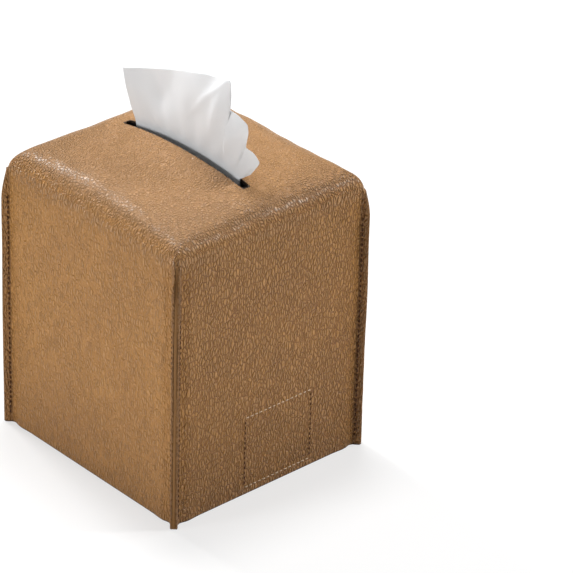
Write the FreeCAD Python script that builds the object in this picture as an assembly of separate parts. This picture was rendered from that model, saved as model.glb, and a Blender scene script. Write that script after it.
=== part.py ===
"""Square leather cover for a cube carton of tissues, open underneath and closed there by a belt.

Millimetres, +Z up. The origin is the middle of the rim that the cover stands on.
X runs along the tissue slot and along the belt, so the belt is sewn to the left wall (-X)
and hooks on to the right wall (+X). The front wall faces -Y.
"""

import FreeCAD
import Part
import math
import os

Vector = FreeCAD.Vector

# Carton of tissues that the cover is cut for
carton_side = 110.0
carton_height = 132.0
carton_board = 0.5
film_thickness = 0.3
mouth_length = 84.0
mouth_width = 46.0
stack_room = 12.5
stack_margin = 1.5

# Layers of the cover
skin_thickness = 1.2
board_thickness = 0.8
lining_thickness = 0.5
pad_thickness = 1.6
layer_gap = 0.05
rim_setback = 0.4

# Belt under the carton
belt_width = 47.0
belt_ply = 1.1
strap_drop = 1.0
root_height = 36.0
bend_reach = 1.5
bend_overlap = 0.6
tab_height = 26.0
fold_clearance = 1.4
fold_angle = 54.0
fold_line = 1.3

# Hook and loop fastening, its seams and its place along the wall
loop_width = 38.0
loop_height = 35.0
loop_drop = 6.5
loop_thickness = 1.2
hook_width = 34.0
hook_height = 17.0
hook_drop = 6.5
hook_thickness = 1.2
fastening_offset = 6.0
seam_margin = 2.0
root_seam_width = 38.0
root_seam_height = 24.0
root_seam_drop = 13.0

# Clearances inside the cover
side_gap = 1.5
carton_gap = 0.35
swing_clearance = 0.35
tab_room = 3.2
hook_gap = 0.6
head_room = 11.2

# Crowned top and its slot
crown_rise = 9.0
edge_radius = 9.0
slot_length = 82.4
slot_opening = 6.2
slot_end_width = 4.4
slot_relief = 0.8

# Pinched seams down the four corners
filler_thickness = 2.0
seam_depth = 3.0
seam_root = 4.0
seam_shoulder = 6.0
filler_top_cover = 3.0

# Stitches; the reach is measured outwards from the sharp corner of the walls
stitch_pitch = 2.8
stitch_length = 1.9
stitch_width = 0.6
stitch_height = 0.35
stitch_standoff = 0.12
seam_stitch_reach = -1.0
stitch_end_margin = 4.0

# Tissue drawn through the slot
tissue_thickness = 1.2
tissue_lip_gap = 0.45
tissue_end_margin = 3.2
tissue_tail_gap = 0.4
film_clearance = 0.5
plume_base_gap = 0.8
plume_base_half = 37.0
plume_depth = 9.0
plume_peak_x = 29.7
plume_peak_rise = 45.5
plume_left_x = 48.0
plume_left_rise = 22.5
plume_bulge = 2.7
plume_notch_x = 27.5
plume_notch_rise = 31.0
plume_shoulder_x = 42.5
plume_shoulder_rise = 27.0
plume_right_x = 51.0
plume_right_rise = 12.0

# Worked out from the sizes above
belt_thickness = 2 * belt_ply
wall_thickness = skin_thickness + board_thickness + lining_thickness
top_thickness = skin_thickness + pad_thickness + lining_thickness
fastening_room = belt_thickness + hook_thickness + hook_gap + loop_thickness + layer_gap
root_room = layer_gap + belt_thickness + carton_gap
inner_width = root_room + carton_side + tab_room + fastening_room
inner_depth = carton_side + 2 * side_gap
cover_width = inner_width + 2 * wall_thickness
cover_depth = inner_depth + 2 * wall_thickness
carton_z = strap_drop + belt_thickness + carton_gap
carton_top_z = carton_z + carton_height
edge_z = carton_top_z + head_room + top_thickness
fold_z = edge_z - edge_radius
left_inner_x = -inner_width / 2
right_inner_x = inner_width / 2
carton_x = left_inner_x + root_room + carton_side / 2
strap_z = strap_drop + belt_ply
root_face_x = left_inner_x + layer_gap
swing_x = root_face_x + belt_ply + swing_clearance
loop_face_x = right_inner_x - layer_gap - loop_thickness
hook_face_x = loop_face_x - hook_gap
tab_face_x = hook_face_x - hook_thickness
tab_fold_x = tab_face_x - belt_ply
seam_thickness = 2 * skin_thickness + filler_thickness
seam_top_z = fold_z
filler_top_z = seam_top_z - seam_shoulder - filler_top_cover
stack_top_z = carton_top_z - carton_board - stack_room


def box(x0, x1, y0, y1, z0, z1):
    """Block between two opposite corners."""
    return Part.makeBox(x1 - x0, y1 - y0, z1 - z0, Vector(x0, y0, z0))


def crown_z(x, y):
    """Height of the crowned top over (x, y), before its edges are rounded."""
    across = 1 - (2 * x / cover_width) ** 2
    along = 1 - (2 * y / cover_depth) ** 2
    return edge_z + crown_rise * across * along


def crown_face(drop):
    """Crowned surface, a patch of nine poles whose middle one alone is raised."""
    surface = Part.BezierSurface()
    surface.increase(2, 2)
    for i in range(3):
        for j in range(3):
            x = (i - 1) * cover_width / 2
            y = (j - 1) * cover_depth / 2
            lift = 4 * crown_rise if i == 1 and j == 1 else 0
            surface.setPole(i + 1, j + 1, Vector(x, y, edge_z - drop + lift))
    return surface.toShape()


def crowned_block(side, drop):
    """Cover's form set in by side at the walls and by drop at the top, with rounded top edges."""
    prism = crown_face(drop).extrude(Vector(0, 0, -2 * edge_z))
    half_x = cover_width / 2 - side
    half_y = cover_depth / 2 - side
    trim = box(-half_x, half_x, -half_y, half_y, 0, 2 * edge_z)
    solid = prism.common(trim).Solids[0]
    low = edge_z - drop - edge_radius / 2
    top_edges = [e for e in solid.Edges if e.BoundBox.ZMin > low]
    return solid.makeFillet(edge_radius - side, top_edges)


def slot_face(grow):
    """Outline of the slot: two long arcs closed by two short ones, grow wider all round."""
    end_x = slot_length / 2
    end_y = slot_end_width / 2 + grow
    mid_y = slot_opening / 2 + grow
    tip_x = end_x + end_y
    far = Part.Arc(Vector(-end_x, end_y, 0), Vector(0, mid_y, 0), Vector(end_x, end_y, 0))
    right = Part.Arc(Vector(end_x, end_y, 0), Vector(tip_x, 0, 0), Vector(end_x, -end_y, 0))
    near = Part.Arc(Vector(end_x, -end_y, 0), Vector(0, -mid_y, 0), Vector(-end_x, -end_y, 0))
    left = Part.Arc(Vector(-end_x, -end_y, 0), Vector(-tip_x, 0, 0), Vector(-end_x, end_y, 0))
    return Part.Face(Part.Wire([a.toShape() for a in (far, right, near, left)]))


def slot_cutter(grow):
    """Upright prism of the slot through the whole top."""
    return slot_face(grow).extrude(Vector(0, 0, 2 * edge_z))


def corner_signs():
    """Name and the signs of x and y of each upright corner."""
    return [
        ("front_left", -1, -1),
        ("front_right", 1, -1),
        ("back_right", 1, 1),
        ("back_left", -1, 1),
    ]


def to_corner(shape, sign_x, sign_y):
    """Turns a shape drawn about the Z axis, with +X outwards, into its upright corner."""
    placed = shape.copy()
    placed.rotate(Vector(0, 0, 0), Vector(0, 0, 1), math.degrees(math.atan2(sign_y, sign_x)))
    placed.translate(Vector(sign_x * cover_width / 2, sign_y * cover_depth / 2, 0))
    return placed


def seam_flange():
    """Pinched seam of one corner: a plate that stands out diagonally, with a sloping shoulder."""
    outline = [
        Vector(-seam_root, -seam_thickness / 2, 0),
        Vector(seam_depth, -seam_thickness / 2, 0),
        Vector(seam_depth, -seam_thickness / 2, seam_top_z - seam_shoulder),
        Vector(0, -seam_thickness / 2, seam_top_z),
        Vector(-seam_root, -seam_thickness / 2, seam_top_z),
    ]
    face = Part.Face(Part.makePolygon(outline + outline[:1]))
    return face.extrude(Vector(0, seam_thickness, 0))


def seam_strip(inner, outer, z0):
    """Upright strip between the two leathers of a seam, inner and outer measured from the corner."""
    half = filler_thickness / 2
    return box(-inner, outer, -half, half, z0, filler_top_z)


def outer_skin():
    """Leather of the cover in one piece: four walls that meet in pinched seams, and the top."""
    skin = crowned_block(0, 0)
    for _, sign_x, sign_y in corner_signs():
        skin = skin.fuse(to_corner(seam_flange(), sign_x, sign_y))
    skin = skin.cut(crowned_block(skin_thickness, skin_thickness))
    slit = seam_strip(seam_root, 2 * seam_depth, 0)
    for _, sign_x, sign_y in corner_signs():
        skin = skin.cut(to_corner(slit, sign_x, sign_y))
    skin = skin.cut(slot_cutter(0))
    return skin.removeSplitter()


def top_cap(outer, inner):
    """Crowned sheet under the skin, from outer to inner below it, with turned-down edges."""
    sheet = crowned_block(outer, outer).cut(crowned_block(inner, inner))
    half_x = cover_width / 2
    half_y = cover_depth / 2
    upper = box(-half_x, half_x, -half_y, half_y, fold_z + layer_gap, 2 * edge_z)
    return sheet.common(upper).cut(slot_cutter(slot_relief))


def wall_sheet(wall, depth, thickness, end_inset, z0):
    """Flat sheet against one wall, its outer face depth in from the outside of the cover."""
    half_x = cover_width / 2 - depth
    half_y = cover_depth / 2 - depth
    run_x = cover_width / 2 - end_inset
    run_y = cover_depth / 2 - end_inset
    if wall == "front":
        return box(-run_x, run_x, -half_y, -half_y + thickness, z0, fold_z)
    if wall == "back":
        return box(-run_x, run_x, half_y - thickness, half_y, z0, fold_z)
    if wall == "left":
        return box(-half_x, -half_x + thickness, -run_y, run_y, z0, fold_z)
    return box(half_x - thickness, half_x, -run_y, run_y, z0, fold_z)


def wall_layers(parts):
    """Stiffening board and lining of each wall."""
    board_depth = skin_thickness + layer_gap
    board = board_thickness - layer_gap
    lining_depth = board_depth + board + layer_gap
    lining = lining_thickness - layer_gap
    for wall in ("front", "back", "left", "right"):
        ends = 0 if wall in ("front", "back") else 1
        board_end = board_depth + ends * (board + layer_gap)
        lining_end = lining_depth + ends * (lining + layer_gap)
        parts["board_" + wall] = wall_sheet(wall, board_depth, board, board_end, 2 * rim_setback)
        parts["lining_" + wall] = wall_sheet(wall, lining_depth, lining, lining_end, rim_setback)


def stitch_row(start, end, outward):
    """Evenly spaced stitches from start to end on a face whose outward direction is given."""
    along = end - start
    length = along.Length
    along.normalize()
    side = outward.cross(along)
    count = max(1, int((length - stitch_length) / stitch_pitch) + 1)
    first = (length - (count - 1) * stitch_pitch) / 2
    stitches = []
    for i in range(count):
        centre = start + along * (first + i * stitch_pitch) + outward * stitch_standoff
        corners = []
        for a, s in ((-1, -1), (1, -1), (1, 1), (-1, 1)):
            corners.append(centre + along * (a * stitch_length / 2) + side * (s * stitch_width / 2))
        face = Part.Face(Part.makePolygon(corners + corners[:1]))
        stitches.append(face.extrude(outward * stitch_height))
    return stitches


def stitched_rectangle(x, outward, y_mid, z0, width, height):
    """Rectangle of stitches on the outside of a side wall."""
    y0 = y_mid - width / 2
    y1 = y_mid + width / 2
    z1 = z0 + height
    step = stitch_width
    rows = stitch_row(Vector(x, y0 + step, z0), Vector(x, y1 - step, z0), outward)
    rows += stitch_row(Vector(x, y0 + step, z1), Vector(x, y1 - step, z1), outward)
    rows += stitch_row(Vector(x, y0, z0 + step), Vector(x, y0, z1 - step), outward)
    rows += stitch_row(Vector(x, y1, z0 + step), Vector(x, y1, z1 - step), outward)
    return Part.makeCompound(rows)


def corner_seams(parts):
    """Filler strip and the two rows of stitches of each pinched corner seam."""
    top = seam_top_z - seam_shoulder
    filler = seam_strip(skin_thickness * math.sqrt(2), seam_depth, rim_setback)
    for name, sign_x, sign_y in corner_signs():
        parts["seam_filler_" + name] = to_corner(filler, sign_x, sign_y)
        rows = []
        for side in (-1, 1):
            start = Vector(seam_stitch_reach, side * seam_thickness / 2, stitch_end_margin)
            end = Vector(seam_stitch_reach, side * seam_thickness / 2, top)
            rows += stitch_row(start, end, Vector(0, side, 0))
        parts["seam_thread_" + name] = to_corner(Part.makeCompound(rows), sign_x, sign_y)


def fastening(parts):
    """Loop patch on the right wall and hook patch on the belt's tab, each with its seam."""
    y0 = fastening_offset - loop_width / 2
    y1 = fastening_offset + loop_width / 2
    patch_x = right_inner_x - layer_gap
    parts["loop_patch"] = box(loop_face_x, patch_x, y0, y1, loop_drop, loop_drop + loop_height)
    parts["loop_patch_thread"] = stitched_rectangle(
        cover_width / 2,
        Vector(1, 0, 0),
        fastening_offset,
        loop_drop - seam_margin,
        loop_width + 2 * seam_margin,
        loop_height + 2 * seam_margin,
    )
    half = hook_width / 2
    parts["hook_patch"] = box(tab_face_x, hook_face_x, -half, half, hook_drop, hook_drop + hook_height)
    parts["hook_patch_thread"] = stitched_rectangle(
        tab_fold_x - belt_ply,
        Vector(-1, 0, 0),
        0,
        hook_drop + seam_margin,
        hook_width - 2 * seam_margin,
        hook_height - 2 * seam_margin,
    )


def belt(parts):
    """Belt of two plies: the root sewn to the left wall, the strap, and the tab that hooks on."""
    half = belt_width / 2
    root_mid_x = root_face_x + belt_ply
    root_back_x = root_face_x + belt_thickness
    root_z = strap_drop + belt_thickness
    parts["belt_root_leather"] = box(root_face_x, root_mid_x, -half, half, root_z, root_height)
    parts["belt_root_backing"] = box(root_mid_x, root_back_x, -half, half, root_z, root_height)
    parts["belt_root_thread"] = stitched_rectangle(
        -cover_width / 2, Vector(-1, 0, 0), 0, root_seam_drop, root_seam_width, root_seam_height
    )
    x0 = swing_x + bend_reach
    x1 = tab_fold_x + bend_overlap
    parts["strap_leather"] = box(x0, x1, -half, half, strap_drop, strap_z)
    parts["strap_backing"] = box(x0, x1, -half, half, strap_z, strap_drop + belt_thickness)
    for name, inner, outer in (("tab_backing", -belt_ply, 0), ("tab_leather", 0, belt_ply)):
        parts[name] = tab_ply(inner, outer)


def tab_ply(inner, outer):
    """One ply of the tab, its lower end cut back so that the tab can fold over the strap."""
    half = belt_width / 2
    reach = 4 * belt_thickness
    ply = box(inner, outer, -half, half, fold_clearance, tab_height)
    cutback = box(-reach, reach, -half, half, fold_line - reach, fold_line)
    cutback.rotate(Vector(0, 0, 0), Vector(0, 1, 0), fold_angle)
    ply = ply.cut(cutback)
    ply.translate(Vector(tab_fold_x, 0, strap_z))
    return ply


def tissue_band(margin, thicken):
    """Arc-shaped section of the drawn tissue, hugging the far lip of the slot."""
    end_x = slot_length / 2 - tissue_end_margin + margin
    drop = (2 * end_x / slot_length) ** 2 * (slot_opening - slot_end_width) / 2
    far_mid = slot_opening / 2 - tissue_lip_gap + thicken
    far_end = far_mid - drop
    near_mid = far_mid - tissue_thickness - 2 * thicken
    near_end = near_mid - drop
    far = Part.Arc(Vector(-end_x, far_end, 0), Vector(0, far_mid, 0), Vector(end_x, far_end, 0))
    near = Part.Arc(Vector(end_x, near_end, 0), Vector(0, near_mid, 0), Vector(-end_x, near_end, 0))
    right = Part.LineSegment(Vector(end_x, far_end, 0), Vector(end_x, near_end, 0))
    left = Part.LineSegment(Vector(-end_x, near_end, 0), Vector(-end_x, far_end, 0))
    return Part.Face(Part.Wire([e.toShape() for e in (far, right, near, left)]))


def oval_cutter(length, width, z0, z1):
    """Upright oval through the top of the carton, about the middle of the slot."""
    ring = Part.Ellipse(Vector(0, 0, z0), length / 2, width / 2).toShape()
    return Part.Face(Part.Wire([ring])).extrude(Vector(0, 0, z1 - z0))


def carton(parts):
    """Carton of tissues: sleeve, flaps, film with its slit, and the stack of folded tissues."""
    half = carton_side / 2
    left = carton_x - half
    right = carton_x + half
    wall = carton_board
    low = carton_z + 2 * wall
    high = carton_top_z - wall
    edge = wall + stack_margin
    outer = box(left, right, -half, half, low, high)
    hollow = box(left + wall, right - wall, -half + wall, half - wall, low, high)
    parts["carton_sleeve"] = outer.cut(hollow)
    parts["carton_bottom_flap"] = box(left, right, -half, half, carton_z, carton_z + wall)
    flap = carton_side / 3
    inner_flaps = [
        box(left, left + flap, -half, half, carton_z + wall, low),
        box(right - flap, right, -half, half, carton_z + wall, low),
    ]
    parts["carton_inner_flaps"] = Part.makeCompound(inner_flaps)
    panel = box(left, right, -half, half, high, carton_top_z)
    parts["carton_top_panel"] = panel.cut(oval_cutter(mouth_length, mouth_width, high, carton_top_z))
    inset = wall + layer_gap
    film = box(left + inset, right - inset, -half + inset, half - inset, high - film_thickness, high)
    slit = tissue_band(film_clearance, film_clearance).extrude(Vector(0, 0, 2 * edge_z))
    parts["carton_film"] = film.cut(slit)
    parts["tissue_stack"] = box(left + edge, right - edge, edge - half, half - edge, low, stack_top_z)


def drawn_tissue():
    """Tissue half drawn out: a tail down to the stack, and the plume standing over the slot."""
    tail_z = stack_top_z + tissue_tail_gap
    crown = edge_z + crown_rise
    near = slot_opening / 2 - tissue_lip_gap - tissue_thickness
    tail = tissue_band(0, 0)
    tail.translate(Vector(0, 0, tail_z))
    tail = tail.extrude(Vector(0, 0, crown + 2 * plume_base_gap - tail_z))
    base_left = Vector(-plume_base_half, near, crown_z(plume_base_half, 0) + plume_base_gap)
    base_middle = Vector(0, near, crown + plume_base_gap)
    base_right = Vector(plume_base_half, near, base_left.z)
    right = Vector(plume_right_x, near, crown + plume_right_rise)
    shoulder = Vector(plume_shoulder_x, near, crown + plume_shoulder_rise)
    notch = Vector(plume_notch_x, near, crown + plume_notch_rise)
    peak = Vector(plume_peak_x, near, crown + plume_peak_rise)
    left = Vector(-plume_left_x, near, crown + plume_left_rise)
    brow = (peak + left) / 2 + Vector(0, 0, plume_bulge)
    edges = [Part.Arc(base_left, base_middle, base_right), Part.Arc(peak, brow, left)]
    for start, end in (
        (base_right, right),
        (right, shoulder),
        (shoulder, notch),
        (notch, peak),
        (left, base_left),
    ):
        edges.append(Part.LineSegment(start, end))
    outline = Part.Wire(Part.__sortEdges__([e.toShape() for e in edges]))
    plume = Part.Face(outline).extrude(Vector(0, plume_depth, 0))
    return plume.fuse(tail).removeSplitter()


def all_parts():
    """Every node of the cover by name."""
    parts = {"outer_skin": outer_skin()}
    pad_depth = skin_thickness + layer_gap
    lining_depth = pad_depth + pad_thickness
    parts["top_pad"] = top_cap(pad_depth, lining_depth - layer_gap)
    parts["top_lining"] = top_cap(lining_depth, lining_depth + lining_thickness - layer_gap)
    wall_layers(parts)
    corner_seams(parts)
    fastening(parts)
    belt(parts)
    carton(parts)
    parts["drawn_tissue"] = drawn_tissue()
    return parts


os.makedirs("parts", exist_ok=True)
for node, shape in all_parts().items():
    shape.exportStep(os.path.join("parts", node + ".step"))
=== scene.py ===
"""Square leather tissue box cover, dressed over its fixed frame.

The cover is one leather skin that is folded over the top, with a standing seam down each corner. A
belt under the carton closes on the inside of the right wall, and one tissue stands in the slot.
Lengths are in millimetres until make_piece turns them into metres. The frame's origin is the
middle of the rim that the cover stands on, +Z is up, X runs along the slot and along the belt.
"""
import math

import bpy
import numpy as np
from mathutils import Matrix


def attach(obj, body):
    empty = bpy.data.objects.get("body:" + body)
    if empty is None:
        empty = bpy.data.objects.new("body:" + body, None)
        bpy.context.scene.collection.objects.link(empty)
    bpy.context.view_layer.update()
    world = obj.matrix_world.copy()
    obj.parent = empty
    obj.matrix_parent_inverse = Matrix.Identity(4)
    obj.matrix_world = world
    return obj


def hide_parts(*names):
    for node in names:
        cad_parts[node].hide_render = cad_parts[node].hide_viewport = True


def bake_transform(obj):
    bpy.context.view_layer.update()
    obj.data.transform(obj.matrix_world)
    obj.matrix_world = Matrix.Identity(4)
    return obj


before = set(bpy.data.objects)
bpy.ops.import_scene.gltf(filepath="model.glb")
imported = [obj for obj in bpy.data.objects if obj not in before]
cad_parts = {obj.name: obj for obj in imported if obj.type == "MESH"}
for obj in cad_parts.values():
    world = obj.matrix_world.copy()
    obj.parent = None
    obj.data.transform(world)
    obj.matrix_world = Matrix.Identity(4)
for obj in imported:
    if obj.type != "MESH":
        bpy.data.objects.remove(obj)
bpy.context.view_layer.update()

MM = 0.001

HALF_X = 63.0                # from the middle to the outside of the left and right walls
HALF_Y = 59.0                # from the middle to the outside of the front and back walls
EDGE_Z = 150.05              # height at which the crown would meet the walls
CROWN = 9.0                  # rise of the crown over EDGE_Z at its middle
WALL_TOP = 136.0             # height of a wall's last row, before the fold
FOLD_GAP = 0.5               # that row's distance below the centre of the fold
FOLD_R = 9.0                 # radius of the fold at the corners
FOLD_SWELL = 5.0             # what that radius gains at the middle of a wall
FOLD_END = 15.0              # distance in from the wall at which the fold's rows end
SKIN = 1.2                   # thickness of the leather
PAD = 1.2                    # thickness of the padding under the top
SLOT_END = 41.2              # half length of the slot's lips, without the round ends
SLOT_MID_HALF = 3.1          # half width of the slot at its middle
SLOT_END_HALF = 2.2          # half width of the slot at its ends
SEAM_ROOT = 2.475            # distance from the sharp corner to the root of a standing seam
SEAM_FADE = (122.0, 144.5)   # heights between which a standing seam flattens into the fold
BELT_HALF = 23.5             # half width of the belt
CORNERS = [(1, -1, "front_right"), (1, 1, "back_right"), (-1, 1, "back_left"), (-1, -1, "front_left")]


# ---------------------------------------------------------------- meshes

def make_piece(name, points, faces, finish, body, uv=None, caps=0):
    """Mesh piece from points in millimetres and faces, riding on a body. The last faces, as many as
    caps says, are flat; all others are smooth."""
    mesh = bpy.data.meshes.new(name)
    mesh.from_pydata((np.asarray(points).reshape(-1, 3) * MM).tolist(), [], faces)
    mesh.polygons.foreach_set("use_smooth", np.arange(len(faces)) < len(faces) - caps)
    if uv is not None:
        layer = mesh.uv_layers.new(name="surface")
        layer.data.foreach_set("uv", np.asarray(uv, dtype=np.float32).ravel())
    mesh.update()
    mesh.materials.append(finish)
    obj = bpy.data.objects.new(name, mesh)
    bpy.context.scene.collection.objects.link(obj)
    if body is not None:
        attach(obj, body)
    return obj


def grid_corners(rows, cols, wrap_rows=False, wrap_cols=False):
    """Row and column of the four corners of each quad of a grid of points. On a wrapped side the
    last quads count one past the last point."""
    last_row = rows if wrap_rows else rows - 1
    last_col = cols if wrap_cols else cols - 1
    row, col = np.meshgrid(np.arange(last_row), np.arange(last_col), indexing="ij")
    row = row.ravel()
    col = col.ravel()
    return np.stack([row, row, row + 1, row + 1], axis=1), np.stack([col, col + 1, col + 1, col], axis=1)


def grid_faces(rows, cols, wrap_rows=False, wrap_cols=False):
    """Quads of a grid of points that are numbered row by row."""
    corner_row, corner_col = grid_corners(rows, cols, wrap_rows, wrap_cols)
    return (corner_row % rows) * cols + corner_col % cols


def outward(points, faces):
    """Faces of a closed surface, turned over if its signed volume is negative."""
    p = np.asarray(points).reshape(-1, 3)[faces]
    volume = np.einsum("ij,ij->i", p[:, 0], np.cross(p[:, 1], p[:, 2])).sum()
    volume += np.einsum("ij,ij->i", p[:, 0], np.cross(p[:, 2], p[:, 3])).sum()
    return faces if volume > 0 else faces[:, ::-1]


def bunched(count):
    """Shares from 0 to 1 that lie closer together at both ends: t - 0.055 sin(2 pi t)."""
    t = np.linspace(0, 1, count)
    return t - 0.055 * np.sin(2 * math.pi * t)


def smooth(x, low, high):
    """Smooth step: 0 below low, 1 above high, 3t^2 - 2t^3 between."""
    t = np.clip((x - low) / (high - low), 0.0, 1.0)
    return t * t * (3 - 2 * t)


def ripple(p, seed, wavelength, count=9):
    """Even softness, about -1 to 1: the sum of plane waves with seeded directions and phases, over
    the root of their count."""
    rng = np.random.default_rng(seed)
    total = np.zeros(p.shape[:-1])
    for _ in range(count):
        direction = rng.normal(size=3)
        direction *= 2 * math.pi / (wavelength * rng.uniform(0.7, 1.5) * np.linalg.norm(direction))
        total += np.sin(p @ direction + rng.uniform(0, 2 * math.pi))
    return total / math.sqrt(count)


def normals_of(p):
    """Unit normals of a grid of points: the cross product of its two central differences, taken
    round from the last row and column to the first."""
    along = np.roll(p, -1, 1) - np.roll(p, 1, 1)
    up = np.roll(p, -1, 0) - np.roll(p, 1, 0)
    n = np.cross(along, up)
    return n / np.maximum(np.linalg.norm(n, axis=-1, keepdims=True), 1e-9)


# ---------------------------------------------------------------- materials

class Value:
    """A shader value. Arithmetic on it adds Math nodes to its finish."""

    def __init__(self, finish, socket):
        self.finish = finish
        self.socket = socket

    def math(self, operation, *others):
        """A Math node on the value and, after it, the others."""
        inputs = {0: self}
        inputs.update({i + 1: other for i, other in enumerate(others)})
        return self.finish.node("Math", 0, {"operation": operation}, inputs)

    def __add__(self, other):
        return self.math("ADD", other)

    def __radd__(self, other):
        return self.math("ADD", other)

    def __sub__(self, other):
        return self.math("SUBTRACT", other)

    def __rsub__(self, other):
        return self.finish.node("Math", 0, {"operation": "SUBTRACT"}, {0: other, 1: self})

    def __mul__(self, other):
        return self.math("MULTIPLY", other)

    def __rmul__(self, other):
        return self.math("MULTIPLY", other)

    def __pow__(self, other):
        return self.math("POWER", other)

    def __abs__(self):
        return self.math("ABSOLUTE")

    def clamp(self):
        """The value kept between 0 and 1."""
        return self.finish.node("Clamp", 0, {}, {"Value": self})

    def step(self, low, high):
        """Smooth step from 0 at low to 1 at high."""
        inputs = {0: self, 1: low, 2: high, 3: 0.0, 4: 1.0}
        return self.finish.node("MapRange", 0, {"interpolation_type": "SMOOTHSTEP"}, inputs)


class Finish:
    """A material with one Principled shader, and one method for every other node."""

    def __init__(self, name, **constants):
        self.material = bpy.data.materials.new(name)
        self.material.use_nodes = True
        self.tree = self.material.node_tree
        self.shader = self.tree.nodes["Principled BSDF"]
        for key, value in constants.items():
            self.shader.inputs[key.replace("_", " ")].default_value = value

    def feed(self, socket, value):
        """Links a shader value to a socket, or sets the socket to a number, vector or colour."""
        if isinstance(value, Value):
            self.tree.links.new(value.socket, socket)
        elif hasattr(value, "__len__") and len(value) == 3 and len(socket.default_value) == 4:
            socket.default_value = (*value, 1.0)
        else:
            socket.default_value = value

    def node(self, kind, output, settings=None, inputs=None):
        """Adds a node of a type, sets its settings first, then its sockets' values or links."""
        made = self.tree.nodes.new("ShaderNode" + kind)
        for key, value in (settings or {}).items():
            setattr(made, key, value)
        for key, value in (inputs or {}).items():
            self.feed(made.inputs[key], value)
        return Value(self, made.outputs[output])

    def stretch(self, vector, scale):
        """The vector times scale, axis by axis."""
        return self.node("Mapping", 0, {"vector_type": "POINT"}, {"Vector": vector, "Scale": scale})

    def place(self, scale=(1000.0, 1000.0, 1000.0)):
        """Object coordinates, stretched by scale: in millimetres unless it says otherwise."""
        return self.stretch(self.node("TexCoord", "Object"), scale)

    def along(self, scale=(1.0, 1.0, 1.0)):
        """The piece's own UV map, stretched by scale."""
        return self.stretch(self.node("UVMap", 0, {"uv_map": "surface"}), scale)

    def part(self, vector, axis):
        """One coordinate of a vector."""
        return self.node("SeparateXYZ", axis, {}, {0: vector})

    def noise(self, vector, scale, detail=2.0, roughness=0.5):
        """Soft cloud pattern from 0 to 1, with scale patches to the unit of the vector."""
        inputs = {"Vector": vector, "Scale": scale, "Detail": detail, "Roughness": roughness}
        return self.node("TexNoise", "Fac", {"noise_dimensions": "3D"}, inputs)

    def vector_math(self, operation, first, second):
        """A Vector Math node on two vectors."""
        return self.node("VectorMath", 0, {"operation": operation}, {0: first, 1: second})

    def warp(self, vector, scale, amount):
        """The vector moved about by a noise of the given scale, up to about half of amount."""
        inputs = {"Vector": vector, "Scale": scale, "Detail": 1.0}
        cloud = self.node("TexNoise", "Color", {"noise_dimensions": "3D"}, inputs)
        shift = self.vector_math("SUBTRACT", cloud, (0.5, 0.5, 0.5))
        return self.vector_math("ADD", vector, self.vector_math("MULTIPLY", shift, (amount,) * 3))

    def cells(self, vector, scale, randomness=1.0):
        """Distance to the nearest edge of a cell pattern, in cells."""
        settings = {"voronoi_dimensions": "3D", "feature": "DISTANCE_TO_EDGE"}
        inputs = {"Vector": vector, "Scale": scale, "Randomness": randomness}
        return self.node("TexVoronoi", "Distance", settings, inputs)

    def mix(self, amount, first, second):
        """Colour between first, at amount 0, and second, at amount 1."""
        return self.node("Mix", 2, {"data_type": "RGBA"}, {0: amount, 6: first, 7: second})

    def colour(self, value):
        self.feed(self.shader.inputs["Base Color"], value)

    def rough(self, value):
        self.feed(self.shader.inputs["Roughness"], value)

    def coat(self, value):
        self.feed(self.shader.inputs["Coat Weight"], value)

    def relief(self, height, depth):
        """Bump of the given depth in millimetres."""
        inputs = {"Height": height, "Distance": depth * MM}
        self.feed(self.shader.inputs["Normal"], self.node("Bump", 0, {}, inputs))


# Paler tan of the top: painted sheen, a drawn reflection of the sky.
SHEEN_TAN = (0.40, 0.245, 0.138)
CUT_LIP = (0.016, 0.010, 0.007)
RIM_PAINT = (0.055, 0.028, 0.014)
BELT_PAINT = (0.075, 0.036, 0.018)
DIAGONAL = 0.7071            # cosine of 45 degrees


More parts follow.
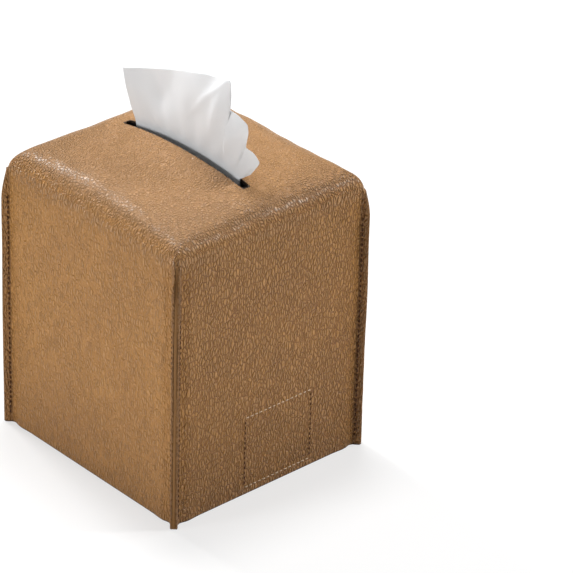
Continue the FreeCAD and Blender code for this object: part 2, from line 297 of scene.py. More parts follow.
def pebbled_leather(name, light, dark, edge):
    """Coated leather. Its grain is a cell pattern drawn out down the walls: domes parted by dark
    creases, calmer on the front and back walls and on the top; the creases' darkness is partly their
    own colour and partly painted shade. Over it come the colours that depend on the place: a paler top
    that is painted sheen, a darker foot that is painted shade, the seams with painted shade in the
    gutters beside them, the lips of the slot and the rim. The coat shines most on the domes of the fold."""
    finish = Finish(name, Specular_IOR_Level=0.42, Coat_Roughness=0.34)
    even = finish.place()
    x, y, z = (finish.part(even, axis) for axis in range(3))
    beyond_x = abs(x) - HALF_X
    beyond_y = abs(y) - HALF_Y

    tall = finish.warp(finish.place((1000.0, 1000.0, 430.0)), 0.30, 1.5)
    pebble = finish.cells(tall, 0.66, 0.8)
    dome = pebble.step(0.0, 0.36)
    crease = 1.0 - pebble.step(0.0, 0.16)
    wrinkle = 1.0 - finish.cells(finish.warp(tall, 1.1, 0.7), 1.15).step(0.0, 0.16)
    pores = finish.noise(even, 2.6)
    patchy = finish.noise(even, 0.16)
    drift = finish.noise(even, 0.03, 3.0, 0.55)
    long_wall = beyond_y.step(-2.2, -0.4) * (1.0 - z.step(132.0, 146.0))
    # Walls whose creases get more painted shade: the left and right ones, where the light rakes.
    side_crease_shade = beyond_x.step(-14.0, -2.0)
    top = z.step(149.0, 154.0)
    height = dome * 0.90 - wrinkle * 0.12 + pores * 0.14
    height = height * (1.0 - long_wall * 0.25 - top * 0.45)
    # The creases are darkened partly as the grain's own colour and partly as painted shade of the hollows,
    # more on the left and right walls and less on the front and back walls.
    tone = crease * (0.20 + patchy * 0.5 + side_crease_shade * 0.30) * (1.0 - long_wall * 0.40)
    tone = tone + wrinkle * 0.05 + (0.5 - drift) * 0.45
    colour = finish.mix(tone.clamp(), light, dark)
    # Painted sheen: the top is drawn paler, as a reflection of the sky on it would show.
    colour = finish.mix(z.step(144.0, 152.0) * 0.40, colour, SHEEN_TAN)

    # At a corner, reach is the distance out along the diagonal, and across the distance beside it.
    reach = (beyond_x + beyond_y) * DIAGONAL
    across = abs(beyond_x - beyond_y) * DIAGONAL
    low = 1.0 - z.step(138.0, 147.0)
    seam = reach.step(-1.3, -0.3) * (1.0 - across.step(1.9, 2.5))
    seam = seam * z.step(2.0, 8.0) * (1.0 - z.step(140.0, 149.0))
    colour = finish.mix(seam * 0.42, colour, edge)
    layers = finish.noise(finish.place((3000.0, 3000.0, 90.0)), 0.9)
    tip = reach.step(1.80, 2.08) * low
    colour = finish.mix(tip * (0.10 + layers * 0.40), colour, edge)
    # Painted shade: the crease beside each standing seam, where the seam meets its walls, is drawn darker.
    gutter_shade = (1.0 - abs(reach + 1.70).step(0.1, 0.9)) * (1.0 - across.step(2.1, 3.1)) * low
    colour = finish.mix(gutter_shade * 0.55, colour, edge)

    slot_y = SLOT_MID_HALF - (x * (1 / SLOT_END)) ** 2.0 * (SLOT_MID_HALF - SLOT_END_HALF)
    lip_edge = 1.0 - (abs(y) - slot_y).step(0.02, 0.22)
    lip_edge = lip_edge * (1.0 - abs(x).step(43.6, 44.4)) * z.step(150.0, 152.0)
    colour = finish.mix(lip_edge * 0.92, colour, CUT_LIP)
    rim = 1.0 - z.step(0.35, 1.1)
    colour = finish.mix(rim * 0.85, colour, RIM_PAINT)
    # Painted shade: the leather is drawn darker towards the floor.
    foot = 1.0 - z.step(0.0, 80.0)
    finish.colour(finish.mix(foot * 0.26, colour, tuple(0.6 * c for c in dark)))

    bent = z.step(136.0, 142.0) * (1.0 - z.step(151.0, 156.0))
    finish.coat((bent * 0.50 + 0.12) * dome)
    finish.rough(0.40 + crease * 0.16 + patchy * 0.06)
    finish.relief(height, 1.30)
    return finish.material


def belt_leather(name, light, dark):
    """Fine belt leather: short wrinkles across the belt, and a dark painted line on its edges. The
    UV map runs across the belt from 0 to twice BELT_HALF."""
    finish = Finish(name, Specular_IOR_Level=0.4)
    across = finish.part(finish.along(), 0)
    wrinkle = finish.cells(finish.warp(finish.along((0.22, 1.0, 1.0)), 0.30, 1.6), 0.75)
    fold = wrinkle.step(0.0, 0.28)
    grit = finish.noise(finish.place(), 2.6)
    drift = finish.noise(finish.place(), 0.05, 3.0)
    tone = (1.0 - fold) * 0.6 + (0.5 - drift) * 0.6 + grit * 0.12
    colour = finish.mix(tone.clamp(), light, dark)
    edge = abs(across - BELT_HALF).step(BELT_HALF - 0.80, BELT_HALF - 0.15)
    finish.colour(finish.mix(edge * 0.85, colour, BELT_PAINT))
    finish.rough(0.50 + (1.0 - fold) * 0.14)
    finish.relief(fold * 0.7 + grit * 0.22, 0.16)
    return finish.material


def woven(name, light, dark, pitch=0.9, roughness=0.85, depth=0.10):
    """Plain woven cloth: two sets of waves at right angles, with uneven yarn."""
    finish = Finish(name, Sheen_Weight=0.25, Sheen_Roughness=0.5)
    place = finish.warp(finish.place(), 0.7, 0.25)
    turns = 2 * math.pi / pitch
    weft = ((finish.part(place, 0) + finish.part(place, 1)) * turns).math("SINE") * 0.5 + 0.5
    warp = (finish.part(place, 2) * turns).math("SINE") * 0.5 + 0.5
    yarn = finish.noise(finish.place(), 1.6)
    height = weft * 0.4 + warp * 0.4 + yarn * 0.3
    finish.colour(finish.mix(height.clamp(), dark, light))
    finish.rough(roughness)
    finish.relief(height, depth)
    return finish.material


def coated_board(name, light, dark, roughness=0.55):
    """Carton board: almost even, with faint long fibres and a soft mottle."""
    finish = Finish(name, Specular_IOR_Level=0.35)
    place = finish.place()
    mottle = finish.noise(place, 0.09, 4.0, 0.6)
    fibres = finish.noise(finish.place((350.0, 1500.0, 900.0)), 0.9, 3.0)
    finish.colour(finish.mix((mottle * 0.6 + fibres * 0.3).clamp(), dark, light))
    finish.rough(roughness + fibres * 0.1)
    finish.relief(fibres, 0.05)
    return finish.material


def soft_tissue(name):
    """Tissue paper, matte and a little bright: creped across the sheet, with a faint cloudiness."""
    finish = Finish(name, Sheen_Weight=0.3, Sheen_Roughness=0.6, Specular_IOR_Level=0.1)
    crepe = finish.noise(finish.along((0.6, 3.0, 1.0)), 1.1, 3.0, 0.6)
    cloud = finish.noise(finish.place(), 0.05, 3.0)
    tone = (crepe * 0.25 + cloud * 0.55).clamp()
    finish.colour(finish.mix(tone, (0.785, 0.800, 0.820), (0.885, 0.898, 0.910)))
    finish.rough(0.92 - crepe * 0.08)
    finish.relief(crepe, 0.05)
    return finish.material


def thread(name, light, dark):
    """Waxed twisted thread: slanting strands a fraction of a millimetre apart."""
    finish = Finish(name, Specular_IOR_Level=0.15)
    place = finish.place()
    slant = finish.part(place, 0) + finish.part(place, 1) + finish.part(place, 2)
    strands = (slant * 9.0).math("SINE") * 0.5 + 0.5
    wax = finish.noise(place, 1.4)
    finish.colour(finish.mix((strands * 0.6 + wax * 0.3).clamp(), dark, light))
    finish.rough(0.5 + wax * 0.15)
    finish.relief(strands, 0.08)
    return finish.material


def raw_edge(name, light, dark):
    """Cut leather edge: layered fibres along the strip."""
    finish = Finish(name, Specular_IOR_Level=0.3)
    layers = finish.noise(finish.place((3000.0, 3000.0, 120.0)), 0.8, 3.0)
    nap = finish.noise(finish.place(), 1.8, 3.0)
    finish.colour(finish.mix((layers * 0.7 + nap * 0.3).clamp(), dark, light))
    finish.rough(0.72 + nap * 0.12)
    finish.relief(layers * 0.6 + nap * 0.4, 0.14)
    return finish.material


def fuzzy_tape(name, light, dark, spacing, depth):
    """Hook or loop tape: a cell pattern of small mounds, a spacing apart, under a short nap."""
    finish = Finish(name, Sheen_Weight=0.35, Sheen_Roughness=0.5)
    bumps = finish.cells(finish.warp(finish.place(), 1.1, 0.5), 1.0 / spacing)
    mound = bumps.step(0.0, 0.45)
    nap = finish.noise(finish.place(), 2.2, 3.0)
    finish.colour(finish.mix((mound * 0.7 + nap * 0.3).clamp(), dark, light))
    finish.rough(0.8)
    finish.relief(mound * 0.8 + nap * 0.3, depth)
    return finish.material


def clear_film(name):
    """Thin clear film: a cool tint, faintly hazy and wrinkled."""
    finish = Finish(name, Roughness=0.2, Specular_IOR_Level=0.5)
    haze = finish.noise(finish.place(), 0.08, 3.0)
    finish.colour(finish.mix(haze, (0.78, 0.80, 0.82), (0.88, 0.90, 0.91)))
    finish.feed(finish.shader.inputs["Alpha"], 0.35 + haze * 0.25)
    finish.relief(haze, 0.6)
    return finish.material


TAN = (0.478, 0.224, 0.050)
TAN_DARK = (0.195, 0.076, 0.017)
skin_finish = pebbled_leather("tan pebbled leather", TAN, TAN_DARK, (0.155, 0.070, 0.022))
belt_finish = belt_leather("tan belt leather", (0.50, 0.285, 0.145), (0.27, 0.13, 0.06))
edge_finish = raw_edge("cut seam edge", (0.30, 0.152, 0.050), (0.21, 0.098, 0.032))
lining_finish = woven("brown lining", (0.33, 0.155, 0.085), (0.17, 0.072, 0.038))
# Painted light on one tan thread: the shaded copy is drawn dark for the corner rows and the upright runs,
# which lie in shade, and the lit copy is drawn beige for the level runs, which catch the light.
shaded_thread_finish = thread("shaded thread", (0.125, 0.046, 0.020), (0.040, 0.015, 0.008))
lit_thread_finish = thread("lit thread", (0.93, 0.75, 0.55), (0.62, 0.45, 0.30))
carton_finish = coated_board("white carton", (0.84, 0.83, 0.82), (0.74, 0.73, 0.72))
board_finish = coated_board("grey board", (0.46, 0.41, 0.34), (0.30, 0.26, 0.21), 0.8)
pad_finish = woven("charcoal padding", (0.050, 0.048, 0.046), (0.018, 0.017, 0.016), 1.6, 0.95, 0.2)
top_lining_finish = woven("dark top lining", (0.040, 0.026, 0.020), (0.014, 0.009, 0.007))
tissue_finish = soft_tissue("soft tissue")
stack_finish = soft_tissue("stacked tissue")
film_finish = clear_film("carton film")
hook_finish = fuzzy_tape("hook tape", (0.20, 0.105, 0.060), (0.055, 0.028, 0.017), 0.9, 0.35)
loop_finish = fuzzy_tape("loop tape", (0.24, 0.125, 0.070), (0.090, 0.045, 0.026), 0.55, 0.25)


# ---------------------------------------------------------------- cover

WALL_COLS = 46
# Half of a standing seam's section: (out along the corner's diagonal, to the side), from its root.
SEAM_HALF_PROFILE = np.array([
    (-1.75, -1.75), (-1.50, -1.70), (-1.05, -1.70), (-0.50, -1.75), (0.15, -1.80), (0.80, -1.82),
    (1.40, -1.80), (1.85, -1.72), (2.10, -1.58), (2.25, -1.36), (2.30, -1.12), (2.25, -0.92),
    (2.05, -0.84), (1.65, -0.82), (1.25, -0.78),
])
SEAM_SLIT = [(1.22, 0.0)]
SEAM_PROFILE = np.concatenate([SEAM_HALF_PROFILE, SEAM_SLIT, (SEAM_HALF_PROFILE * (1, -1))[::-1]])


def crown(x, y):
    """Rise of the top over its edges: CROWN times one less each squared distance."""
    return CROWN * (1 - (x / HALF_X) ** 2) * (1 - (y / HALF_Y) ** 2)


class Fold:
    """Rounding between a wall and the crown, as a ball that touches both. Its radius is FOLD_R at the
    corners and FOLD_R + FOLD_SWELL at the middle of each wall. Where the crown's slope is s, the ball
    leaves it radius * (1 - s / sqrt(1 + s^2)) in from the wall."""

    def __init__(self, x, y):
        middle = (1 - (x / HALF_X) ** 2) * (1 - (y / HALF_Y) ** 2)
        middle = middle / (1 - (1 - FOLD_R / HALF_Y) ** 2)
        self.radius = FOLD_R + FOLD_SWELL * smooth(middle, 0.05, 1.0)
        slope = 2 * CROWN * np.hypot(x / HALF_X ** 2 * (1 - (y / HALF_Y) ** 2),
                                     y / HALF_Y ** 2 * (1 - (x / HALF_X) ** 2))
        self.steep = np.sqrt(1 + slope ** 2)
        self.end = self.radius * (1 - slope / self.steep)
        touch = EDGE_Z + crown(x, y) - slope * (FOLD_R - self.end)
        self.centre = touch - self.radius / self.steep

    def height(self, x, y, inset, depth):
        """Height of the surface depth under the skin, at an inset from the wall."""
        ball = self.radius - depth
        arc = self.centre + np.sqrt(np.clip(ball ** 2 - (self.radius - inset) ** 2, 0, None))
        end = depth + ball / self.radius * self.end
        return np.where(inset < end, arc, EDGE_Z + crown(x, y) - depth * self.steep)


def lip(x):
    """Half width of the slot at x: a parabola from the middle to its two ends."""
    return SLOT_MID_HALF - (SLOT_MID_HALF - SLOT_END_HALF) * (x / SLOT_END) ** 2


def corner_axes(sx, sy):
    """Unit directions at a corner: out along its diagonal, and at right angles to that."""
    out = np.array([sx, sy, 0]) / math.sqrt(2)
    return out, np.array([-out[1], out[0], 0])


def outline(inset, corner_radius, pinch):
    """Plan of the cover, one row of points per height: four walls and four corners, from the left end
    of the front wall anticlockwise. A corner goes from an arc (pinch 0) to a standing seam (pinch 1).
    The third result is the distance from the nearer corner, and -1 on the corners themselves."""
    inset = np.asarray(inset, float)[:, None]
    radius = np.asarray(corner_radius, float)[:, None]
    pinch = np.asarray(pinch, float)[:, None]
    reach = (1 - pinch) * radius + pinch * SEAM_ROOT
    hx = HALF_X - inset
    hy = HALF_Y - inset
    t = bunched(WALL_COLS + 2)[1:-1]
    theta = np.linspace(-math.pi / 4, math.pi / 4, len(SEAM_PROFILE))
    xs, ys, walls = [], [], []
    for k, (dx, dy) in enumerate([(1, 0), (0, 1), (-1, 0), (0, -1)]):
        cx, cy, _ = CORNERS[k]
        sx, sy, _ = CORNERS[k - 1]
        length = 2 * (hx if dx else hy)
        s = reach + (length - 2 * reach) * t[None, :]
        xs.append(sx * hx + dx * s)
        ys.append(sy * hy + dy * s)
        walls.append(np.tile(np.minimum(t, 1 - t)[None, :] * 2 * HALF_X, (len(inset), 1)))
        out, side = corner_axes(cx, cy)
        arc_d = -radius * math.sqrt(2) + radius * np.cos(theta)[None, :]
        arc_w = radius * np.sin(theta)[None, :]
        d = (1 - pinch) * arc_d + pinch * SEAM_PROFILE[None, :, 0]
        w = (1 - pinch) * arc_w + pinch * SEAM_PROFILE[None, :, 1]
        xs.append(cx * hx + out[0] * d + side[0] * w)
        ys.append(cy * hy + out[1] * d + side[1] * w)
        walls.append(np.full_like(d, -1.0))
    return np.concatenate(xs, 1), np.concatenate(ys, 1), np.concatenate(walls, 1)


def slot_targets(x, y):
    """Point of the slot's edge for each point of the top's outline: the long sides map to the long
    lips and the short ones to the round ends, by the share of the side that lies before them."""
    slope = HALF_Y / HALF_X
    on_long = np.abs(y) >= np.abs(x) * slope
    lip_x = SLOT_END * np.clip(x / HALF_X * 1.18, -1, 1)
    turn = np.clip(y / (np.abs(x) * slope + 1e-9), -1, 1) * math.pi / 2
    end_x = np.sign(x) * (SLOT_END + SLOT_END_HALF * np.cos(turn))
    end_y = SLOT_END_HALF * np.sin(turn)
    return np.where(on_long, lip_x, end_x), np.where(on_long, np.sign(y) * lip(lip_x), end_y)


def crown_rows(rim_x, rim_y, slot_x, slot_y, share, drop):
    """Rows of the top from its rim to the slot, one for each share of the way, a drop under the crown."""
    x = rim_x + (slot_x - rim_x) * share[:, None]
    y = rim_y + (slot_y - rim_y) * share[:, None]
    return np.stack([x, y, EDGE_Z + crown(x, y) - drop], -1)


def wall_push(wall, level, pinch):
    """How far the leather stands out of a flat wall: it sinks beside a standing seam, swells a little
    further in, and bellies towards the middle of the wall."""
    beside = np.exp(-((wall - 2.2) / 2.0) ** 2) * (wall > 0)
    swell = np.exp(-((wall - 7.5) / 4.0) ** 2) * (wall > 0)
    belly = 0.25 * np.sin(math.pi * np.clip(level / 146.0, 0, 1))[:, None]
    return pinch[:, None] * (0.30 * swell - 0.50 * beside) + belly * np.clip(wall / 40.0, 0, 1)


def soften(points, push):
    """The outer skin moved along its normals by push and by two ripples, a wide and a narrow one,
    which are strongest on the top away from the slot and fade out at the rim. The first and last
    rows are open, so they take the normals of the next row and of the flat lip."""
    normal = normals_of(points)
    normal[-1] = (0, 0, 1)
    normal[0] = normal[1]
    x, y, z = np.moveaxis(points, -1, 0)
    top = smooth(z, 141.0, 150.0) * smooth(np.hypot(x * 0.12, y), 3.0, 16.0)
    soft = ripple(points, 11, 46.0) * (0.16 + 0.34 * top)
    soft = soft + ripple(points * (1, 1, 0.5), 5, 15.0) * (0.05 + 0.10 * top)
    return points + normal * (push + soft * smooth(z, 6.0, 30.0))[..., None]


def cover_skin():
    """Leather of the cover as one closed surface over (height, way round): up the outside, over the
    fold, across the crown to the slot, and back down the inside one thickness in."""
    rim_bevel = 0.3
    corner_radius = 3.2
    z_wall = np.concatenate([[0.05, 0.45, 1.2], np.linspace(3.5, 118, 37), np.linspace(120.5, WALL_TOP, 9)])
    wall_rows = len(z_wall)
    touch_row = wall_rows + 10
    turn = np.linspace(0, math.pi / 2, 17)[1:]
    inset = np.concatenate([np.where(z_wall < rim_bevel, rim_bevel, 0.0), FOLD_END * (1 - np.cos(turn))])
    level = np.concatenate([z_wall, EDGE_Z - FOLD_R + FOLD_R * np.sin(turn)])
    pinch = 1 - smooth(level, *SEAM_FADE)
    x, y, wall = outline(inset, np.full(len(inset), corner_radius), pinch)
    fold = Fold(x[touch_row], y[touch_row])
    z = fold.height(x, y, inset[:, None], 0.0)
    lift = (fold.centre - FOLD_GAP - WALL_TOP) * smooth(z_wall, 100.0, WALL_TOP)[:, None]
    z[:wall_rows] = z_wall[:, None] + lift

    slot_x, slot_y = slot_targets(x[-1], y[-1])
    share = np.linspace(0, 1, 27)[1:] ** 0.92
    top = crown_rows(x[-1], y[-1], slot_x, slot_y, share, 0.0)
    push = np.concatenate([wall_push(wall, level, pinch), np.zeros(top.shape[:2])])
    outer = soften(np.concatenate([np.stack([x, y, z], -1), top]), push)
    lip_rows = [np.stack([slot_x, slot_y, top[-1, :, 2] - drop], -1) for drop in (0.30, 0.75, SKIN)]
    inner_top = crown_rows(x[-1], y[-1], slot_x, slot_y, share[::-3][1:], SKIN * fold.steep)

    back = np.linspace(math.pi / 2, 0, 9)
    z_inner = np.concatenate([np.linspace(125, 6, 9), [0.45, 0.05]])
    fold_inset = FOLD_END - (FOLD_END - SKIN) * np.cos(back)
    inset = np.concatenate([fold_inset, np.full(9, SKIN), [SKIN, SKIN - rim_bevel]])
    radius = np.repeat([2.2, 0.6], [len(back), len(z_inner)])
    x, y, _ = outline(inset, radius, np.zeros(len(inset)))
    z = fold.height(x, y, inset[:, None], SKIN)
    z[len(back):] = z_inner[:, None]

    points = np.concatenate([outer, lip_rows, inner_top, np.stack([x, y, z], -1)])
    faces = outward(points, grid_faces(points.shape[0], points.shape[1], True, True))
    piece = make_piece("cover_leather", points, faces.tolist(), skin_finish, "cover")
    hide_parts("outer_skin")


def padding():
    """Soft layer under the top leather: a shallow pan over (way across, way round) whose upper face
    lies just under the leather and whose lower face is PAD under the leather."""
    upper_drop = SKIN + 0.15
    lower_drop = SKIN + PAD
    inset = np.array([2.0, 2.6, 4.0, 6.0, 8.5, 11.5, FOLD_END])
    x, y, _ = outline(inset, np.full(len(inset), 1.6), np.zeros(len(inset)))
    touch_x, touch_y, _ = outline([FOLD_R], [1.6], [0.0])
    fold = Fold(touch_x[0], touch_y[0])
    upper = fold.height(x, y, inset[:, None], upper_drop)
    lower = np.minimum(fold.height(x, y, inset[:, None], lower_drop), upper - 0.3)
    slot_x, slot_y = slot_targets(x[-1], y[-1])
    slot_x = slot_x + np.sign(slot_x) * 0.8 * (np.abs(slot_x) > SLOT_END)
    slot_y = slot_y + np.sign(slot_y) * 0.8
    share = np.linspace(0, 1, 12)[1:]
    top, under = (
        np.concatenate([np.stack([x, y, z], -1),
                        crown_rows(x[-1], y[-1], slot_x, slot_y, share, drop * fold.steep)])
        for z, drop in ((upper, upper_drop), (lower, lower_drop)))
    points = np.concatenate([top, under[::-1]])
    faces = outward(points, grid_faces(points.shape[0], points.shape[1], True, True))
    piece = make_piece("top_padding", points, faces.tolist(), pad_finish, "cover")
    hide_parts("top_pad")


def seam_strips():
    """Filler of each standing seam: a rounded bar along the corner that follows the slit of the seam
    inwards as the seam flattens, and narrows there."""
    standing_at = 1.64
    sunk_at = -1.0
    z = np.concatenate([[0.4], np.linspace(1.0, 122, 42), np.linspace(124, 141.5, 12)])
    pinch = 1 - smooth(z, *SEAM_FADE)
    turn = np.linspace(0, 2 * math.pi, 17)[:-1]
    half_w = 0.79 * np.sign(np.cos(turn)) * np.abs(np.cos(turn)) ** 0.4
    half_d = 0.56 * np.sign(np.sin(turn)) * np.abs(np.sin(turn)) ** 0.5
    sides = len(turn)
    caps = [list(range(sides))[::-1], [(len(z) - 1) * sides + i for i in range(sides)]]
    faces = grid_faces(len(z), sides, False, True).tolist() + caps
    for sx, sy, name in CORNERS:
        out, side = corner_axes(sx, sy)
        wobble = 0.04 * np.sin(z / 2.3 + sx) + 0.03 * np.sin(z / 0.9)
        d = ((standing_at + wobble) * pinch + sunk_at * (1 - pinch))[:, None] + half_d
        w = half_w * (0.55 + 0.45 * pinch)[:, None]
        points = np.stack([sx * HALF_X + out[0] * d + side[0] * w,
                           sy * HALF_Y + out[1] * d + side[1] * w,
                           np.tile(z[:, None], (1, sides))], -1)
        piece = make_piece("seam_edge_" + name, points, faces, edge_finish, "cover")
        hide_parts("seam_filler_" + name)


# ---------------------------------------------------------------- stitches

STITCH_PITCH = 2.8
STITCH_LENGTH = 2.0
THREAD_WIDTH = 0.62
STITCH_RINGS = 6
STITCH_SIDES = 6
THREAD_LIFT = 0.02           # from a wall's face to the middle of its stitches


def stitches(name, centres, along, out, finish, node=None):
    """Row of sewn stitches on the cover: each a short bar of thread that rises from its two holes in
    an arch. A ring of points is carried along the arch, thinner at the ends."""
    centres = np.asarray(centres, float)
    along = np.broadcast_to(np.asarray(along, float), centres.shape)
    out = np.broadcast_to(np.asarray(out, float), centres.shape)
    side = np.cross(out, along)
    t = np.linspace(-1, 1, STITCH_RINGS)
    turn = np.linspace(0, 2 * math.pi, STITCH_SIDES + 1)[:-1]
    thick = THREAD_WIDTH / 2 * (1 - 0.45 * np.abs(t) ** 3)
    rise = 0.30 - 0.62 * t ** 4
    ring = t[None, :, None, None] * along[:, None, None, :] * STITCH_LENGTH / 2
    lift = rise[None, :, None] + 0.7 * thick[None, :, None] * np.sin(turn)[None, None, :]
    spread = thick[None, :, None] * np.cos(turn)[None, None, :]
    points = (centres[:, None, None, :] + ring + lift[..., None] * out[:, None, None, :]
              + spread[..., None] * side[:, None, None, :])
    cap = np.array([[0, 1, 2, 3], [0, 3, 4, 5]])
    tube = grid_faces(STITCH_RINGS, STITCH_SIDES, False, True)
    one = outward(points[0], np.concatenate([tube, cap[:, ::-1], cap + (STITCH_RINGS - 1) * STITCH_SIDES]))
    first = STITCH_RINGS * STITCH_SIDES * np.arange(len(centres))
    faces = (one[None] + first[:, None, None]).reshape(-1, 4)
    piece = make_piece(name, points, faces.tolist(), finish, "cover")
    if node:
        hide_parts(node)


def corner_stitches():
    """Two rows of stitches down each corner, in the crease where the standing seam meets its walls."""
    crease_out = -1.05
    crease_side = 1.74
    z = np.arange(6.0, 127.0, STITCH_PITCH)
    level = np.stack([0 * z, 0 * z, z], -1)
    for sx, sy, name in CORNERS:
        out, side = corner_axes(sx, sy)
        corner = np.array([sx * HALF_X, sy * HALF_Y, 0.0])
        centres, facing = [], []
        for hand in (-1, 1):
            centres.append(corner + out * crease_out + side * hand * crease_side + level)
            facing.append(np.tile(side * hand * 0.92 + out * 0.38, (len(z), 1)))
        # The corner rows take the shaded copy of the thread: painted shade of the crease.
        stitches("seam_stitches_" + name, np.concatenate(centres), (0, 0, 1), np.concatenate(facing),
                 shaded_thread_finish, "seam_thread_" + name)


def stitch_line(start, end):
    """Evenly spaced centres from start to end, and the unit direction between them."""
    start = np.asarray(start, float)
    end = np.asarray(end, float)
    length = np.linalg.norm(end - start)
    count = max(1, int((length - 1.9) / STITCH_PITCH) + 1)
    s = (length - (count - 1) * STITCH_PITCH) / 2 + STITCH_PITCH * np.arange(count)
    direction = (end - start) / length
    return start + s[:, None] * direction, np.tile(direction, (count, 1))


def stitched_box(label, hand, y_ends, z_ends, node):
    """Rectangle of stitches on the right (hand 1) or left (hand -1) wall: the upper and lower runs are
    drawn in the lit, beige copy of the thread as painted light, the upright runs in the shaded, dark
    copy as painted shade, and a little shorter."""
    x = hand * (HALF_X + THREAD_LIFT)
    y0, y1 = y_ends
    z0, z1 = z_ends
    level = [stitch_line((x, y0, z), (x, y1, z)) for z in (z0, z1)]
    upright = [stitch_line((x, y, z0 + 0.6), (x, y, z1 - 0.6)) for y in (y0, y1)]
    for suffix, runs, finish, stands_for in (
            ("_level", level, lit_thread_finish, node), ("_upright", upright, shaded_thread_finish, None)):
        centres, along = (np.concatenate(parts) for parts in zip(*runs))
        stitches(label + suffix, centres, along, (hand, 0, 0), finish, stands_for)


# ---------------------------------------------------------------- belt

BELT_HALF_THICK = 1.1
BELT_Z = 2.1                 # height of the belt's middle line under the carton
BELT_SAG = 0.25              # what it hangs lower in its middle
ROOT_X = -59.38              # its middle line against the left wall, where it is sewn on
TAB_X = 56.38                # its middle line against the patch on the right wall
TURN_R = 3.48                # radius of its two turns
ROOT_TOP = 36.0              # height of its upper end on the left wall
TAB_TOP = 28.1               # height of its upper end on the right wall
JOINT_RING = 0.04            # from the middle joint to the next ring, so that no line shows where they meet


def belt_length(name, path, run_before, nodes):
    """Flat strap carried along a path in the X-Z plane: a rounded section across Y, with soft waves
    along it. Gives the run of the belt, from its root, at its far end."""
    path = np.asarray(path, float)
    step = np.gradient(path, axis=0)
    step /= np.linalg.norm(step, axis=1, keepdims=True)
    normal = np.stack([-step[:, 1], step[:, 0]], -1)
    steps = np.linalg.norm(np.diff(path, axis=0), axis=1)
    run = run_before + np.concatenate([[0], np.cumsum(steps)])
    across = np.linspace(-1, 1, 25)
    thick = BELT_HALF_THICK - 0.35 * np.clip((np.abs(across) - 0.97) / 0.03, 0, 1) ** 2
    section_y = BELT_HALF * np.concatenate([across, across[::-1]])
    section_n = np.concatenate([thick, -thick[::-1]])
    length = run[:, None]
    wave = 0.12 * np.sin(length / 9.0 + section_y / 17.0) + 0.07 * np.sin(length / 3.7 + 1.3)
    slack = 0.10 * (section_y / BELT_HALF) ** 2 * np.sin(length / 14.0)
    n = section_n + wave + slack
    points = np.stack([path[:, :1] + normal[:, :1] * n,
                       section_y * (1 + 0.003 * np.sin(length / 11.0)),
                       path[:, 1:] + normal[:, 1:] * n], -1)

    rows, cols = n.shape
    faces = grid_faces(rows, cols, False, True)
    corner_row, corner_col = grid_corners(rows, cols, False, True)
    uv = np.stack([section_y[corner_col % cols] + BELT_HALF, run[corner_row]], -1)
    start_cap = np.arange(cols)[::-1]
    end_cap = (rows - 1) * cols + np.arange(cols)
    if inward(points, faces):
        faces, uv, start_cap, end_cap = faces[:, ::-1], uv[:, ::-1], start_cap[::-1], end_cap[::-1]
    cap_uv = [np.stack([section_y[cap % cols] + BELT_HALF, run[cap // cols]], -1)
              for cap in (start_cap, end_cap)]
    faces = faces.tolist() + [start_cap.tolist(), end_cap.tolist()]
    uv = np.concatenate([uv.reshape(-1, 2), *cap_uv])
    piece = make_piece(name, points, faces, belt_finish, None, uv, 2)
    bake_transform(piece)
    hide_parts(*nodes)
    return run[-1]


def inward(points, faces):
    """True if the faces of a tube point to its middle line."""
    q = points.reshape(-1, 3)[faces]
    normal = np.cross(q[:, 1] - q[:, 0], q[:, 2] - q[:, 0])
    away = q.mean(axis=1) - points.mean(axis=1)[faces[:, 0] // points.shape[1]]
    return (normal * away).sum() < 0


def bend(x0, z0, radius, first, last, count):
    """Points on a circle about (x0, z0), from one angle to another in degrees."""
    turn = np.linspace(math.radians(first), math.radians(last), count)
    return np.stack([x0 + radius * np.cos(turn), z0 + radius * np.sin(turn)], -1)


def strap(x, end_x):
    """Points of the belt under the carton, sagging by BELT_SAG in the middle: a quarter of a cosine."""
    return np.stack([x, BELT_Z - BELT_SAG * np.cos(math.pi / 2 * x / end_x)], -1)


def upright(x, first_z, last_z, count):
    """Points of the belt up or down a wall."""
    return np.stack([np.full(count, x), np.linspace(first_z, last_z, count)], -1)


def belt():
    """The belt in two lengths that meet under the carton: one sewn to the left wall, and one that
    ends in the tab on the right wall."""
    left_end = -54.5
    right_end = 51.6
    turn_z = BELT_Z + TURN_R
    turn_in = bend(ROOT_X + TURN_R, turn_z, TURN_R, 180, 270, 14)
    turn_up = bend(TAB_X - TURN_R, turn_z, TURN_R, 270, 360, 14)
    to_joint = np.append(np.linspace(left_end, -JOINT_RING, 28), 0.0)
    from_joint = np.insert(np.linspace(JOINT_RING, right_end, 27), 0, 0.0)
    sewn_run = belt_length(
        "belt_sewn_length",
        np.concatenate([upright(ROOT_X, ROOT_TOP, 5.6, 14), turn_in, strap(to_joint, left_end)]), 0.0,
        ("belt_root_leather", "belt_root_backing", "strap_leather"))
    belt_length(
        "belt_free_length",
        np.concatenate([strap(from_joint, right_end), turn_up, upright(TAB_X, 6.4, TAB_TOP, 11)]), sewn_run,
        ("strap_backing", "tab_leather", "tab_backing"))


# ---------------------------------------------------------------- tissue

TISSUE_LEFT = -37.6          # left end of the tissue in the slot
TISSUE_WIDTH = 74.6          # its width in the slot
TISSUE_FOOT = 123.4          # height at which it ends on the stack
TISSUE_MAP = 200.0           # span of its UV map, both ways
TISSUE_Y = 1.2               # where TISSUE_EDGE stands
EYE_X = 1.094                # from the camera, a step of 1 along Y looks like a step of EYE_X along X
EYE_Z = 0.844                # and EYE_Z along Z
